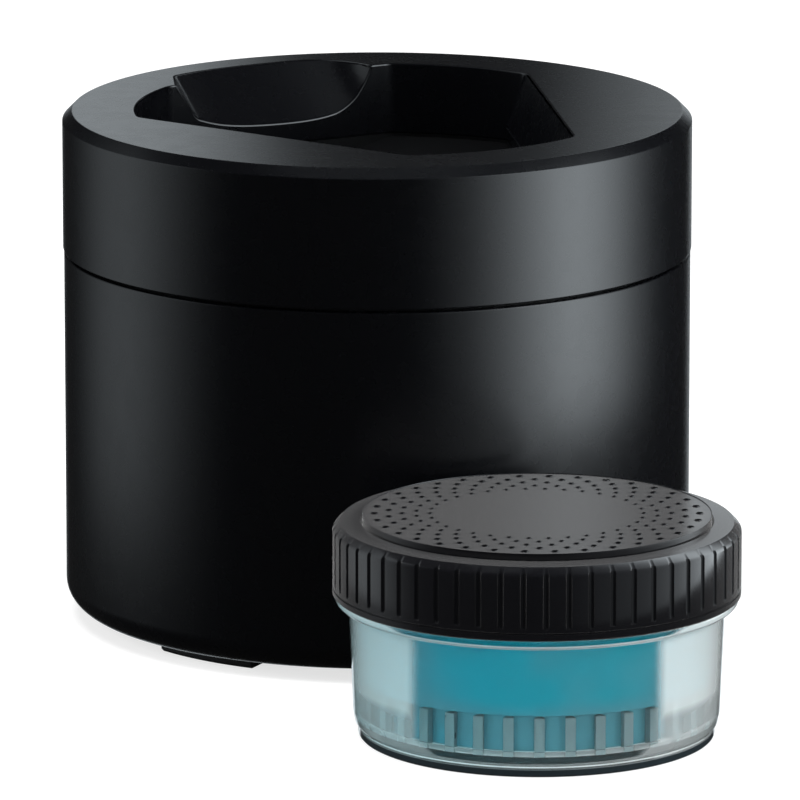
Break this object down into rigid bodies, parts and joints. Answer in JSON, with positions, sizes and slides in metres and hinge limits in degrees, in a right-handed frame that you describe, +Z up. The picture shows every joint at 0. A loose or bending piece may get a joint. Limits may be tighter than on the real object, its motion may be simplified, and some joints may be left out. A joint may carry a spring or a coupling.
{
  "type": "shaver cleaning station",
  "caption": "Round black pod that holds a shaver's head in a recessed opening over a cleaning cartridge; the clear, fluid-filled cartridge with its ribbed, perforated cap stands beside it.",
  "frame": {"origin": "centre of the pod's footprint on the surface it stands on, under the pod's axis", "axes": "+Z up along the pod's axis; the pictured front faces -Y; +X is to the right seen from the front; the cartridge stands in front, to the right"},
  "size_m": [0.1369, 0.2072, 0.1062],
  "materials": {
    "pod_black": "satin",
    "inner_black": "matte",
    "inner_grey": "matte",
    "rubber_black": "matte",
    "screw_steel": "brushed",
    "cell_blue": "satin",
    "contact_metal": "satin",
    "motor_steel": "satin",
    "rotor_white": "satin",
    "magnet_dark": "matte",
    "board_green": "satin",
    "cup_clear": "clear",
    "fluid_teal": "clear",
    "impeller_white": "satin",
    "cap_grey": "satin"
  },
  "bodies": {
    "base": {"base_housing": "pod_black", "cartridge_well": "inner_grey", "bottom_cover": "inner_black", "rubber_feet": "rubber_black", "cover_screws": "screw_steel", "battery_tray": "inner_black", "battery_cells": "cell_blue", "battery_contacts": "contact_metal", "motor_mount": "inner_grey", "mount_screws": "screw_steel", "drive_motor": "motor_steel", "control_board": "board_green", "board_screws": "screw_steel", "start_switch": "inner_black", "switch_grommet": "rubber_black", "well_seal": "rubber_black"},
    "door": {"battery_door": "inner_black"},
    "drive": {"drive_rotor": "rotor_white", "drive_magnets": "magnet_dark"},
    "top": {"top_housing": "pod_black", "shaver_basin": "inner_black", "basin_seal": "rubber_black", "underplate": "inner_grey", "underplate_screws": "screw_steel"},
    "plunger": {"start_plunger": "inner_grey", "plunger_clip": "contact_metal", "plunger_spring": "contact_metal"},
    "cartridge": {"cartridge_cup": "cup_clear", "cleaning_fluid": "fluid_teal", "impeller_axle": "contact_metal"},
    "impeller": {"impeller": "impeller_white", "impeller_magnet": "magnet_dark"},
    "cap": {"cartridge_cap": "cap_grey", "cap_disc": "cap_grey", "cap_seal": "rubber_black"}
  },
  "joints": [
    {"name": "top_lift", "type": "slide", "parent": "base", "child": "top", "axis": [0, 0, 1], "range_m": [0, 0.06]},
    {"name": "start_press", "type": "slide", "parent": "top", "child": "plunger", "axis": [0, 0, -1], "range_m": [0, 0.002], "stiffness_N_per_m": 250, "springref_m": -0.003, "deforming": ["plunger_spring"]},
    {"name": "battery_door_hinge", "type": "hinge", "parent": "base", "child": "door", "pos_m": [0, 0.04005, 0.0037], "axis": [1, 0, 0], "range_deg": [0, 95]},
    {"name": "drive_spin", "type": "hinge", "parent": "base", "child": "drive", "pos_m": [0, 0, 0.028], "axis": [0, 0, 1], "continuous": true},
    {"name": "cartridge_lift", "type": "slide", "parent": "base", "child": "cartridge", "axis": [0, 0, 1], "range_m": [0, 0.06]},
    {"name": "impeller_spin", "type": "hinge", "parent": "cartridge", "child": "impeller", "pos_m": [0.0315, -0.10184, 0.01], "axis": [0, 0, 1], "continuous": true},
    {"name": "cap_turn", "type": "hinge", "parent": "cartridge", "child": "cap", "pos_m": [0.0315, -0.10184, 0.035], "axis": [0, 0, 1], "range_deg": [0, 40]}
  ]
}
